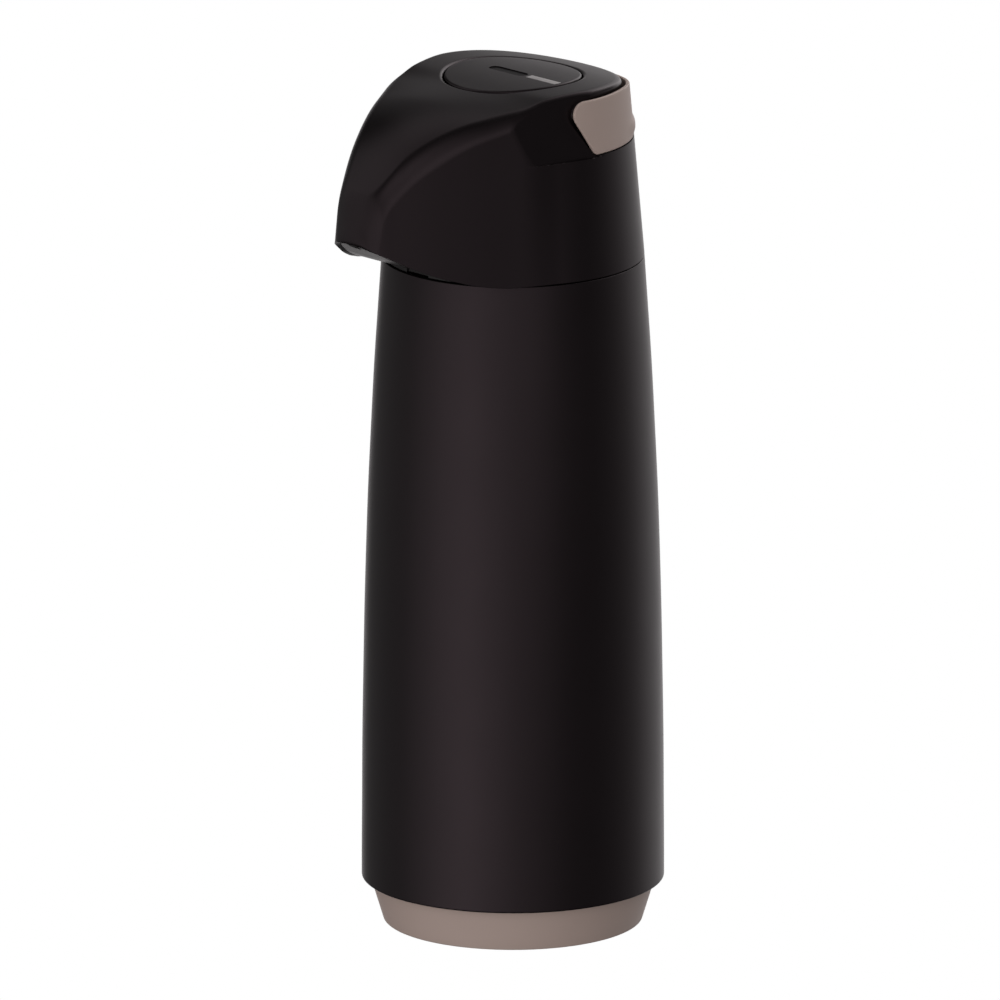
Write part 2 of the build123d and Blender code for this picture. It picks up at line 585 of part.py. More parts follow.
NODES = {
    "outer_shell": outer_shell, "base_cap": base_cap, "foot_pad": foot_pad,
    "flask_cushion": flask_cushion, "flask_outer_glass": flask_outer_glass,
    "flask_inner_glass": flask_inner_glass, "shoulder_gasket": shoulder_gasket,
    "neck_collar": neck_collar, "tube_holder": tube_holder, "dip_tube": dip_tube,
    "tube_seal": tube_seal, "hinge_pin": hinge_pin,
    "head_shell": head_shell, "lid_base": lid_base, "mouth_gasket": mouth_gasket,
    "pump_cylinder": pump_cylinder, "pump_floor": pump_floor, "inlet_elbow": inlet_elbow,
    "tip_valve_housing": tip_valve_housing, "tip_valve_ball": tip_valve_ball,
    "spout_pipe": spout_pipe, "spout_nozzle": spout_nozzle, "nose_cover": nose_cover,
    "lid_screws": lid_screws, "handle_pins": handle_pins, "latch_leaf": latch_leaf,
    "air_check_valve": air_check_valve, "bellows": bellows, "return_spring": return_spring,
    "pump_plate": pump_plate, "inlet_valve": inlet_valve,
    "button_cap": button_cap, "pointer_strip": pointer_strip,
    "handle_band": handle_band, "latch_tab": latch_tab,
}

for name, make in NODES.items():
    save(make(), name)
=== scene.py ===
import bpy, bmesh, math, json
import numpy as np
from mathutils import Vector, Matrix

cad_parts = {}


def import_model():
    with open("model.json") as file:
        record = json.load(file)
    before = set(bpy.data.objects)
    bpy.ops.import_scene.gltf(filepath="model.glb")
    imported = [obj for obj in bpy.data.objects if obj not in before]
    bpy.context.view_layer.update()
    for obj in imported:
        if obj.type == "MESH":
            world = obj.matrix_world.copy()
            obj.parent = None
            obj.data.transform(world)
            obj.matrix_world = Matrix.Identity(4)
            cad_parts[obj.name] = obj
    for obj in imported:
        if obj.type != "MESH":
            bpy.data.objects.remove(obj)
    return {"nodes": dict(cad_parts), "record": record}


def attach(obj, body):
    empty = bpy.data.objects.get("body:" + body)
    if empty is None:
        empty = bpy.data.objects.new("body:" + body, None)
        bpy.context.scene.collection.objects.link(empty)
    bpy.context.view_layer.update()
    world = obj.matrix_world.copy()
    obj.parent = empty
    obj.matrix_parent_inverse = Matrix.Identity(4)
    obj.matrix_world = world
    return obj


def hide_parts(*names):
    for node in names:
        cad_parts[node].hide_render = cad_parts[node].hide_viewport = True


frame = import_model()
S = bpy.context.scene


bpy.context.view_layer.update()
MM = 0.001

# ------------------------------------------------------------ sizes, millimetres
SEAM = 271.86                      # joint plane between body and lid
BODY = [(25.0, 60.03), (45.0, 59.92), (75.0, 59.75), (100.0, 59.37), (127.0, 58.88),
        (152.0, 58.22), (177.0, 57.38), (202.0, 56.22), (226.0, 55.02), (248.0, 53.62),
        (271.46, 52.05)]
HEAD_R, DRAFT, NOSE_DRAFT = 52.05, 0.0857, 0.060
TANGENT = 68.0
NOSE = [(28.94, 44.68), (38.15, 40.35), (49.99, 34.51), (60.82, 28.82), (69.02, 24.25),
        (76.85, 19.50), (81.74, 16.40), (86.09, 13.40), (89.23, 10.38), (91.45, 6.68),
        (92.36, 3.24), (92.57, 0.0)]
TOP, CROWN_K = 74.0, 415.0
CROWN = [(36.0, 71.42), (45.0, 70.15), (54.0, 67.35), (63.0, 62.95), (71.0, 56.3),
         (78.0, 48.1), (84.0, 40.2), (88.0, 28.9), (91.06, 20.0), (93.06, 4.0)]
ARCH = [(20, 1.0), (45, 4.4), (65, 4.7), (80, 0.8), (91, 1.0)]   # how far the crown falls to its sides
R_FRONT, R_SIDE = 5.4, 6.0         # rounding between wall and crown
LOWER = [(38.0, 0.0), (44.0, 0.5), (50.0, 1.5), (54.4, 2.5), (57.8, 3.6), (63.2, 5.4), (69.9, 8.2),
         (74.6, 10.5), (78.0, 12.4), (81.4, 14.3), (85.1, 16.4), (88.2, 18.2), (90.6, 19.8), (94.0, 21.6)]
BUTTON_R, WELL_R = 27.2, 27.75
INSET_R = 43.0
PIV_A, PIV_Z, EAR_R = 4.69, 65.66, 5.35
EAR_NA, EAR_NZ = 0.848, 0.530
BAND_Z0 = 49.0
POCKET_GAP = 0.42
RECESS, RECESS_Z = (0.1966, 0.9646, 0.1759, 54.0), 48.3
WALL = 2.2
HINGE_Y, HINGE_Z, KNUCKLE_R = 56.0, SEAM - 0.15, 3.3
BASE_R0, BASE_R1, BASE_H = 51.0, 56.7, 17.2


# ------------------------------------------------------------------ mesh helpers
def to_mesh(name, verts, faces):
    me = bpy.data.meshes.new(name)
    me.from_pydata((np.asarray(verts, float) * MM).tolist(), [], [list(f) for f in faces])
    me.validate(verbose=False)
    me.update()
    return me


def obj(name, me):
    o = bpy.data.objects.new(name, me)
    S.collection.objects.link(o)
    return o


def shade(me, angle=35.0):
    me.shade_smooth()
    me.set_sharp_from_angle(angle=math.radians(angle))


def grid_faces(nu, nv, wrap=False, start=0, flip=False):
    """Quads of a grid of nu by nv points, numbered u * nv + v."""
    iu = np.arange(nu if wrap else nu - 1)
    iv = np.arange(nv - 1)
    a, b = np.meshgrid(iu, iv, indexing="ij")
    a, b = a.ravel(), b.ravel()
    c = (a + 1) % nu
    q = np.stack([a * nv + b, c * nv + b, c * nv + b + 1, a * nv + b + 1], 1) + start
    return q[:, ::-1] if flip else q


def lathe_closed(name, cols, flip=False, poles=True):
    """Closed solid from an array of columns (n around, m along, 3); first and last rows close to poles."""
    n, m, _ = cols.shape
    verts = cols.reshape(-1, 3)
    faces = grid_faces(n, m, wrap=True, flip=flip).tolist()
    if poles:
        top, bot = len(verts), len(verts) + 1
        p0, p1 = cols[:, 0].mean(0), cols[:, -1].mean(0)
        verts = np.vstack([verts, p0, p1])
        for i in range(n):
            j = (i + 1) % n
            t = [top, j * m, i * m]
            b = [bot, i * m + m - 1, j * m + m - 1]
            faces.append(t[::-1] if flip else t)
            faces.append(b[::-1] if flip else b)
    return to_mesh(name, verts, faces)


def ring_solid(name, profile, n=288, flip=False):
    """Solid of revolution of a closed (radius, height) outline that stays off the axis."""
    p = np.asarray(profile, float)
    ang = np.linspace(0, 2 * np.pi, n, endpoint=False)
    m = len(p)
    verts = np.stack([np.outer(np.cos(ang), p[:, 0]), np.outer(np.sin(ang), p[:, 0]),
                      np.outer(np.ones(n), p[:, 1])], 2).reshape(-1, 3)
    faces = []
    for i in range(n):
        k = (i + 1) % n
        for j in range(m):
            l = (j + 1) % m
            f = [i * m + j, k * m + j, k * m + l, i * m + l]
            faces.append(f[::-1] if flip else f)
    return to_mesh(name, verts, faces)


def fix_out(me):
    bm = bmesh.new(); bm.from_mesh(me)
    bmesh.ops.recalc_face_normals(bm, faces=bm.faces)
    if bm.calc_volume(signed=True) < 0:
        bmesh.ops.reverse_faces(bm, faces=bm.faces)
    bm.to_mesh(me); bm.free(); me.update()
    return me


def rounded(pts, n=5):
    """Closed outline from (x, y, radius) corners with filleted corners."""
    out = []
    P = [np.array(p[:2], float) for p in pts]
    N = len(P)
    for i in range(N):
        r = pts[i][2] if len(pts[i]) > 2 else 0
        a, b, c = P[i - 1], P[i], P[(i + 1) % N]
        if r <= 0:
            out.append(b); continue
        u, v = (a - b) / np.linalg.norm(a - b), (c - b) / np.linalg.norm(c - b)
        half = math.acos(max(-1, min(1, float(u @ v)))) / 2
        t = r / math.tan(half)
        t = min(t, 0.49 * np.linalg.norm(a - b), 0.49 * np.linalg.norm(c - b))
        r = t * math.tan(half)
        w = (u + v) / np.linalg.norm(u + v)
        o = b + w * (r / math.sin(half))
        s, e = b + u * t - o, b + v * t - o
        a0 = math.atan2(s[1], s[0]); a1 = math.atan2(e[1], e[0])
        d = (a1 - a0 + math.pi) % (2 * math.pi) - math.pi
        for k in range(n + 1):
            q = a0 + d * k / n
            out.append(o + r * np.array([math.cos(q), math.sin(q)]))
    return np.array(out)


def densify(p, step):
    """Extra points along the straight parts of a closed outline."""
    out = []
    for i in range(len(p)):
        a, b = p[i], p[(i + 1) % len(p)]
        k = max(1, int(np.linalg.norm(b - a) / step))
        for j in range(k):
            out.append(a + (b - a) * j / k)
    return np.array(out)


def boolean(o, cutter, op="DIFFERENCE", keep=False):
    m = o.modifiers.new("b", "BOOLEAN")
    m.operation = op
    m.solver = "MANIFOLD"
    m.object = cutter
    bpy.context.view_layer.update()
    dg = bpy.context.evaluated_depsgraph_get()
    me = bpy.data.meshes.new_from_object(o.evaluated_get(dg))
    o.modifiers.clear()
    old = o.data
    if len(me.polygons) == 0:
        print("BOOLEAN EMPTY", o.name, cutter.name)
        return o
    me.name = old.name
    o.data = me
    bpy.data.meshes.remove(old)
    if not keep:
        cm = cutter.data
        bpy.data.objects.remove(cutter)
        bpy.data.meshes.remove(cm)
    return o


def block(name, x0, x1, y0, y1, z0, z1, r=0.3, seg=3):
    """Box with rounded edges."""
    bm = bmesh.new()
    bmesh.ops.create_cube(bm, size=1.0)
    for v in bm.verts:
        v.co = Vector(((x0 + x1) / 2 + v.co.x * (x1 - x0), (y0 + y1) / 2 + v.co.y * (y1 - y0),
                       (z0 + z1) / 2 + v.co.z * (z1 - z0))) * MM
    if r > 0:
        bmesh.ops.bevel(bm, geom=list(bm.edges), offset=r * MM, segments=seg, profile=0.5, affect="EDGES")
    me = bpy.data.meshes.new(name)
    bm.to_mesh(me); bm.free()
    return me


def place(me, origin, axis):
    """Turns a mesh made about +Z to point along axis, and moves it to origin (mm)."""
    q = Vector((0, 0, 1)).rotation_difference(Vector(axis))
    me.transform(Matrix.Translation(Vector(origin) * MM) @ q.to_matrix().to_4x4())
    return me


def join(name, *meshes):
    bm = bmesh.new()
    for me in meshes:
        bm.from_mesh(me)
    out = bpy.data.meshes.new(name)
    bm.to_mesh(out); bm.free()
    return out


# ---------------------------------------------------------------- curve helpers
def pchip(x, y):
    x, y = np.asarray(x, float), np.asarray(y, float)
    h = np.diff(x); d = np.diff(y) / h
    m = np.zeros(len(x))
    for k in range(1, len(x) - 1):
        if d[k - 1] * d[k] > 0:
            w1, w2 = 2 * h[k] + h[k - 1], h[k] + 2 * h[k - 1]
            m[k] = (w1 + w2) / (w1 / d[k - 1] + w2 / d[k])
    m[0], m[-1] = d[0], d[-1]

    def f(q):
        q = np.clip(np.asarray(q, float), x[0], x[-1])
        i = np.clip(np.searchsorted(x, q, side="right") - 1, 0, len(x) - 2)
        t = (q - x[i]) / h[i]
        return ((2 * t ** 3 - 3 * t ** 2 + 1) * y[i] + (t ** 3 - 2 * t ** 2 + t) * h[i] * m[i]
                + (-2 * t ** 3 + 3 * t ** 2) * y[i + 1] + (t ** 3 - t ** 2) * h[i] * m[i + 1])
    return f


def clamped(d, P, t0, t1):
    """Smooth curve through P at parameters d with end slopes t0 and t1; returns value and slope functions."""
    d, P = np.asarray(d, float), np.asarray(P, float)
    P = P.reshape(len(d), -1)
    n = len(d); h = np.diff(d)
    A = np.zeros((n, n)); B = np.zeros_like(P)
    A[0, 0] = A[-1, -1] = 1
    B[0], B[-1] = t0, t1
    for i in range(1, n - 1):
        A[i, i - 1], A[i, i], A[i, i + 1] = 1 / h[i - 1], 2 * (1 / h[i - 1] + 1 / h[i]), 1 / h[i]
        B[i] = 3 * ((P[i] - P[i - 1]) / h[i - 1] ** 2 + (P[i + 1] - P[i]) / h[i] ** 2)
    M = np.linalg.solve(A, B)

    def ev(q, der=0):
        q = np.atleast_1d(np.asarray(q, float))
        i = np.clip(np.searchsorted(d, q, side="right") - 1, 0, n - 2)
        t = ((q - d[i]) / h[i])[:, None]; hh = h[i][:, None]
        if der:
            return ((6 * t ** 2 - 6 * t) * P[i] + (-6 * t ** 2 + 6 * t) * P[i + 1]) / hh \
                + (3 * t ** 2 - 4 * t + 1) * M[i] + (3 * t ** 2 - 2 * t) * M[i + 1]
        return ((2 * t ** 3 - 3 * t ** 2 + 1) * P[i] + (t ** 3 - 2 * t ** 2 + t) * hh * M[i]
                + (-2 * t ** 3 + 3 * t ** 2) * P[i + 1] + (t ** 3 - t ** 2) * hh * M[i + 1])
    return ev


def smoothstep(x):
    x = np.clip(x, 0, 1)
    return x * x * (3 - 2 * x)


# ================================================================ HEAD: the form
TA = math.radians(TANGENT)
_o = [(HEAD_R * math.cos(TA), HEAD_R * math.sin(TA))] + NOSE
_o = np.array(_o + [(a, -t) for a, t in _o[-2::-1]])
_d = np.r_[0, np.cumsum(np.hypot(*np.diff(_o, axis=0).T))]
_t0 = np.array([math.sin(TA), -math.cos(TA)])
_curve = clamped(_d, _o, _t0, np.array([-_t0[0], _t0[1]]))
_s = np.linspace(0, _d[-1], 1601)
_Q, _T = _curve(_s), _curve(_s, 1)
_beta = np.degrees(np.arctan2(_Q[:, 1], _Q[:, 0]))
_rho = np.hypot(*_Q.T)
_N = np.stack([-_T[:, 1], _T[:, 0]], 1)
_N /= np.hypot(*_N.T)[:, None]
if _N[800, 0] < 0:
    _N = -_N
_cg = (_N * _Q).sum(1) / _rho
_ord = np.argsort(_beta)
_bs, _rs, _cs = _beta[_ord], _rho[_ord], _cg[_ord]


def rho0(b):
    b = np.abs((np.asarray(b, float) + 180) % 360 - 180)
    return (np.where(b < TANGENT, np.interp(b, _bs, _rs), HEAD_R),
            np.where(b < TANGENT, np.interp(b, _bs, _cs), 1.0))


def draft(b):
    w = smoothstep((75 - np.abs(b)) / 25.0)
    return DRAFT + (NOSE_DRAFT - DRAFT) * w


_rear = np.arange(-66.0, 30.0, 6.0)
_cx = np.r_[_rear, [c[0] for c in CROWN]]
_cz = np.r_[TOP - _rear ** 2 / CROWN_K, [c[1] for c in CROWN]]
_raw = pchip(_cx, _cz)
_ga = np.arange(-66.0, 94.0, 0.1)
_gz = _raw(_ga)
_k = np.exp(-0.5 * (np.arange(-90, 91) * 0.1 / 2.6) ** 2); _k /= _k.sum()
_gs = np.convolve(np.pad(_gz, 90, mode="reflect", reflect_type="odd"), _k, mode="valid")
_w = smoothstep((85.5 - _ga) / 8.0)
_gc = _gz + (_gs - _gz) * _w
_arch = np.interp(_cx, [a for a, _ in ARCH], [b for _, b in ARCH]) * (_cx >= 20)
_ar = pchip(_cx, _arch)(_ga)
_as = np.convolve(np.pad(_ar, 90, mode="edge"), _k, mode="valid")
_ga2 = np.linspace(0, 92, 185)


def cen(a):
    return np.interp(a, _ga, _gc)


def arch(a):
    return np.clip(np.interp(a, _ga, _as), 0, None)


def half_width(a, zp):
    bb = np.linspace(0, 90, 721)
    rr, cg = rho0(bb)
    rr = rr - draft(bb) * zp / cg
    return np.interp(a, (rr * np.cos(np.radians(bb)))[::-1], (rr * np.sin(np.radians(bb)))[::-1])


_tr = np.array([half_width(min(a, 90.0), float(cen(min(a, 90.0)) - arch(min(a, 90.0)))) for a in _ga2])
_tr = np.maximum(_tr, 6.0)


def crown(a, t):
    """Height of the top surface above the seam, forward a, sideways t."""
    tr = np.interp(np.clip(a, 0, None), _ga2, _tr)
    return cen(np.clip(a, -66, 93.5)) - arch(np.clip(a, -60, 90)) * (np.abs(t) / tr) ** 2


def soft(f1, f2, r):
    u, v = np.maximum(f1 + r, 0), np.maximum(f2 + r, 0)
    return np.minimum(-r, np.maximum(f1, f2)) + np.sqrt(u * u + v * v)


def edge_r(b):
    w = smoothstep((np.abs(b) - 45) / 35.0)
    return R_FRONT + (R_SIDE - R_FRONT) * w


def head_f(rho, b, zp, inner=0.0):
    """Signed field of the lid's outside (negative inside), or of its cavity with inner = wall."""
    R, cg = rho0(b)
    cb, sb = np.cos(np.radians(b)), np.sin(np.radians(b))
    f1 = (rho - (R - draft(b) * zp / cg)) * cg + inner
    a, t = rho * cb, rho * sb
    h = crown(a, t); e = 0.5
    sl = (crown(a + e * cb, t + e * sb) - h) / e
    f2 = (zp - h) / np.sqrt(1 + sl * sl) + inner
    f = soft(f1, f2, np.maximum(edge_r(b) - inner, 1.0))
    na, nx, nz, d = RECESS
    w = f1 - inner
    g = np.minimum(na * a + nx * np.abs(t) + nz * zp - d, zp - RECESS_Z - 0.8 * w) + inner
    f = soft(f, g, 0.35 + 0.9 * smoothstep((zp - 64.0) / 6.0))
    if inner:
        ear = np.maximum(np.maximum(BAND_Z0 - zp, a - PIV_A - EAR_R),
                         EAR_NA * (a - PIV_A) - EAR_NZ * (zp - PIV_Z) - EAR_R) - POCKET_GAP - inner
        f = np.maximum(f, -np.maximum(ear, INSET_R - inner - rho))
    return f


def head_grad(x, y, z):
    """Field and outward unit normal at points in mm (z above the base)."""
    def val(x, y, z):
        return head_f(np.hypot(x, y), np.degrees(np.arctan2(x, -y)), z - SEAM)
    e = 0.03
    g = np.stack([val(x + e, y, z) - val(x - e, y, z), val(x, y + e, z) - val(x, y - e, z),
                  val(x, y, z + e) - val(x, y, z - e)], 1)
    g /= np.maximum(np.linalg.norm(g, axis=1), 1e-9)[:, None]
    return val(x, y, z), g


def set_normals(me, grad, tol=0.03, cosmin=0.9):
    """Exact normals wherever the mesh lies on the analytic surface, the usual ones elsewhere."""
    nv = len(me.vertices)
    co = np.zeros(nv * 3); me.vertices.foreach_get("co", co)
    co = co.reshape(-1, 3) / MM
    f, g = grad(co[:, 0], co[:, 1], co[:, 2])
    on = np.abs(f) < tol
    nl = len(me.loops)
    vi = np.zeros(nl, np.int32); me.loops.foreach_get("vertex_index", vi)
    cn = np.zeros(nl * 3, np.float32); me.corner_normals.foreach_get("vector", cn)
    cn = cn.reshape(-1, 3).astype(float)
    fn = np.zeros(len(me.polygons) * 3, np.float32); me.polygons.foreach_get("normal", fn)
    lt = np.zeros(len(me.polygons), np.int32); me.polygons.foreach_get("loop_total", lt)
    fl = np.repeat(fn.reshape(-1, 3), lt, axis=0)
    use = on[vi] & ((fl * g[vi]).sum(1) > cosmin)
    cn[use] = g[vi][use]
    me.normals_split_custom_set(cn.tolist())


# ------------------------------------------------------------ HEAD: the mesh
lower = pchip([0.0] + [a for a, _ in LOWER], [0.0] + [z for _, z in LOWER])
n_nose, n_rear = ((380, 420))
sN = np.linspace(0, _d[-1], n_nose + 1)
bN = np.degrees(np.arctan2(_curve(sN)[:, 1], _curve(sN)[:, 0]))[::-1]      # -68 .. 68
bR = np.linspace(TANGENT, 360 - TANGENT, n_rear + 1)[1:-1]
BETA = np.r_[bN, bR]
NB = len(BETA)
R0, CG = rho0(BETA)
KB = draft(np.where(BETA > 180, BETA - 360, BETA))
COSB, SINB = np.cos(np.radians(BETA)), np.sin(np.radians(BETA))
EDGE = 0.35
zl = np.zeros(NB)
for _ in range(8):
    zl = lower(np.clip((R0 - KB * zl / CG) * COSB, 0, 94)) * (COSB > 0)


def wall_r(z, off=0.0):
    return R0 - (KB * z + off) / CG


def rays(n, inner):
    """Points of the outside (or the cavity) along rays in each half-plane, evenly spaced, top to bottom."""
    z0 = zl + (EDGE if not inner else 0.4)
    t0 = np.arctan2(z0 - 5.0, wall_r(z0, inner) - 20.0)

    def solve(th):
        lo, hi = np.zeros_like(th), np.full_like(th, 150.0)
        b = np.where(BETA > 180, BETA - 360, BETA)[:, None]
        for _ in range(30):
            m = (lo + hi) / 2
            v = head_f(20 + m * np.cos(th), b, 5 + m * np.sin(th), inner)
            hi = np.where(v > 0, m, hi); lo = np.where(v > 0, lo, m)
        return 20 + lo * np.cos(th), 5 + lo * np.sin(th)
    th = t0[:, None] + (np.pi / 2 - t0[:, None]) * np.linspace(0, 1, 90)[None, :]
    r, z = solve(th)
    arc = np.c_[np.zeros(NB), np.cumsum(np.hypot(np.diff(r, axis=1), np.diff(z, axis=1)), axis=1)]
    want = np.linspace(0, 1, n)
    th2 = np.array([np.interp(want * arc[i, -1], arc[i], th[i]) for i in range(NB)])
    r, z = solve(th2)
    return r[:, ::-1], z[:, ::-1]


n_out, n_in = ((230, 70))
ro, zo = rays(n_out, 0.0)
ri, zi = rays(n_in, WALL)
th = np.radians([22.5, 45, 67.5, 90])
re = np.stack([wall_r(zl + EDGE - EDGE * math.sin(t), EDGE * (1 - math.cos(t))) for t in th]
              + [wall_r(zl, WALL - 0.3), wall_r(zl + 0.1, WALL)], 1)
ze = np.stack([zl + EDGE - EDGE * math.sin(t) for t in th] + [zl, zl + 0.1], 1)
Rg = np.concatenate([ro, re, ri[:, ::-1]], 1)
Zg = np.concatenate([zo, ze, zi[:, ::-1]], 1)
cols = np.stack([Rg * SINB[:, None], -Rg * COSB[:, None], SEAM + Zg], 2)
head = obj("lid_hood", fix_out(lathe_closed("lid_hood", cols)))

# well of the button, with a soft rolled rim
def polar_cutter(name, rows, n=360):
    """rows: (radius, height, follow) where follow adds the crown's height at that place."""
    ang = np.linspace(0, 2 * np.pi, n, endpoint=False)
    out = np.zeros((n, len(rows), 3))
    for j, (r, z, follow) in enumerate(rows):
        x, y = r * np.sin(ang), -r * np.cos(ang)
        zz = SEAM + z + (crown(-y, x) if follow else 0)
        out[:, j] = np.stack([x, y, zz + np.zeros(n)], 1)
    return obj(name, fix_out(lathe_closed(name, out)))


q = np.radians(np.linspace(0, 90, 9))
rows = [(WELL_R, 40.0, False), (WELL_R, 55.0, False), (WELL_R, -1.5, True)]
rows += [(WELL_R + 2.0 * (1 - math.cos(t)), -1.3 + 1.3 * math.sin(t), True) for t in q]
rows += [(WELL_R + 3.6, 0.25, True), (WELL_R + 7, 2.0, True), (WELL_R + 7, 14.0, True)]
boolean(head, polar_cutter("well", rows))

# pocket of the carrying band: side outline of the ear, less the plateau that stands inside it
def ear_side(g, n_arc=28, foot_r=2.2, back=-75.0):
    """Closed side outline (forward, above seam) of the band, grown by g."""
    r = EAR_R + g
    tang = np.array([PIV_A + EAR_NA * r, PIV_Z - EAR_NZ * r])
    z0 = BAND_Z0 - g
    k = (tang[1] - z0) / EAR_NA
    foot = np.array([tang[0] - EAR_NZ * k, z0])
    low = rounded([(back, z0, 0), (foot[0], foot[1], foot_r + g), (tang[0], tang[1], 0)], 8)
    a0 = math.atan2(-EAR_NZ, EAR_NA)
    arc = [(PIV_A + r * math.cos(t), PIV_Z + r * math.sin(t)) for t in np.linspace(a0, math.pi / 2, n_arc)]
    return low[:-1], np.array(arc)


low, arc = ear_side(POCKET_GAP)
side = np.vstack([low, arc, [(PIV_A, 100.0), (-75.0, 100.0)]])
n = len(side)
verts = [(-62.0, -a, SEAM + z) for a, z in side] + [(62.0, -a, SEAM + z) for a, z in side]
faces = [[i, (i + 1) % n, n + (i + 1) % n, n + i] for i in range(n)] + [list(range(n)), list(range(2 * n - 1, n - 1, -1))]
pocket = obj("pocket", fix_out(to_mesh("pocket", verts, faces)))
q = np.radians(np.linspace(0, 90, 11))
PR = 2.2
rows = [(INSET_R, 38.0, False), (INSET_R, 48.0, False), (INSET_R, 54.0, False), (INSET_R, -PR - 1.0, True)]
rows += [(INSET_R - PR * (1 - math.cos(t)), -PR + PR * math.sin(t), True) for t in q]
rows += [(INSET_R - PR - 2.5, 0.12, True), (INSET_R - PR - 7.0, 1.2, True)]
boolean(pocket, polar_cutter("plateau", rows))
boolean(head, pocket)

# hinge knuckle with its web, at the rear
def rod_x(name, r, x0, x1, y, z, e=0.35, n=64):
    p = rounded([(0.001, x0, 0), (r, x0, e), (r, x1, e), (0.001, x1, 0)], 4)
    ang = np.linspace(0, 2 * np.pi, n, endpoint=False)
    c = np.stack([np.outer(np.ones(n), p[:, 1]), y + np.outer(np.cos(ang), p[:, 0]), z + np.outer(np.sin(ang), p[:, 0])], 2)
    return obj(name, fix_out(lathe_closed(name, c, poles=True)))


def prism_x(name, pts, x0, x1, r=0.4):
    n = len(pts)
    verts = [(x0, y, z) for y, z in pts] + [(x1, y, z) for y, z in pts]
    faces = [[i, (i + 1) % n, n + (i + 1) % n, n + i] for i in range(n)] + [list(range(n)), list(range(2 * n - 1, n - 1, -1))]
    me = fix_out(to_mesh(name, verts, faces))
    bm = bmesh.new(); bm.from_mesh(me)
    bmesh.ops.bevel(bm, geom=list(bm.edges), offset=r * MM, segments=3, profile=0.5, affect="EDGES")
    bm.to_mesh(me); bm.free()
    return obj(name, me)


boolean(head, prism_x("web", [(50.0, SEAM + 0.6), (HINGE_Y + 1.6, SEAM + 0.6), (HINGE_Y + 2.4, SEAM + 1.4),
                              (52.6, SEAM + 7.2), (50.0, SEAM + 8.2)], -6.8, 6.8), "UNION")
boolean(head, rod_x("knuckle", KNUCKLE_R, -6.8, 6.8, HINGE_Y, HINGE_Z), "UNION")
boolean(head, rod_x("bore", 1.65, -10, 10, HINGE_Y, HINGE_Z, e=0.0), "DIFFERENCE")
# pin seats on both sides of the plateau
for sx in (1, -1):
    x0, x1 = sorted((sx * 36.0, sx * (INSET_R - 0.15)))
    boolean(head, rod_x("boss", 4.4, x0, x1, -PIV_A, SEAM + PIV_Z, e=0.5), "UNION")
    x0, x1 = sorted((sx * 35.0, sx * 46.0))
    boolean(head, rod_x("pin_bore", 2.02, x0, x1, -PIV_A, SEAM + PIV_Z, e=0.0), "DIFFERENCE")
shade(head.data, 32)
set_normals(head.data, head_grad)


# ================================================================ BODY SHELL
body_r = clamped([z for z, _ in BODY], [r for _, r in BODY], 0.0, -0.066)


def body_radius(z):
    z = np.asarray(z, float)
    return np.where(z < BODY[0][0], BODY[0][1], body_r(np.clip(z, BODY[0][0], BODY[-1][0]).ravel())[:, 0].reshape(z.shape))


zt, zb = SEAM - 0.4, 17.44
zz = np.r_[np.linspace(19.4, 268.0, 110), np.linspace(268.8, zt - 0.35, 6)]
outer = [(float(body_radius(z)), float(z)) for z in zz]
rt = float(body_radius(zt))
prof = [(rt - 0.35 * (1 - math.cos(t)), zt - 0.35 + 0.35 * math.sin(t)) for t in np.radians([22.5, 45, 67.5, 90])]
prof += [(rt - WALL + 0.2, zt), (rt - WALL, zt - 0.2)]
inn = [(float(body_radius(z)) - WALL, float(z)) for z in np.linspace(zt - 3, 20.0, 40)]
ER = 0.75                                     # rounding of the shell's lower edge
foot = [(60.03 - WALL, 17.7), (60.03 - WALL + 0.26, zb)]
foot += [(60.03 - ER + ER * math.cos(t), zb + ER + ER * math.sin(t)) for t in np.radians(np.linspace(-90, 0, 9))]
shell = obj("body_shell", fix_out(ring_solid("body_shell", outer + prof + inn + foot, n=360)))
for sx in (1, -1):
    x0, x1 = sorted((sx * 7.2, sx * 12.0))
    boolean(shell, prism_x("web", [(51.2, SEAM - 14.2), (HINGE_Y + 2.9, SEAM - 2.9), (HINGE_Y + 2.9, SEAM - 0.75),
                                   (51.2, SEAM - 0.75)], x0, x1, r=0.5), "UNION")
    boolean(shell, rod_x("knuckle", KNUCKLE_R, x0, x1, HINGE_Y, HINGE_Z), "UNION")
    boolean(shell, rod_x("bore", 1.62, x0 - 1, x1 + 1, HINGE_Y, HINGE_Z, e=0.0), "DIFFERENCE")


def body_grad(x, y, z):
    rho = np.hypot(x, y)
    rr = body_radius(z)
    k = np.where((z > 25.0), (body_radius(z + 0.5) - body_radius(z - 0.5)), 0.0)
    g = np.stack([x / rho, y / rho, -k], 1)
    g /= np.linalg.norm(g, axis=1)[:, None]
    f = np.where((z > zb + ER - 0.01) & (z < zt - 0.34), rho - rr, 9.0)
    return f, g


shade(shell.data, 32)
set_normals(shell.data, body_grad, tol=0.02)

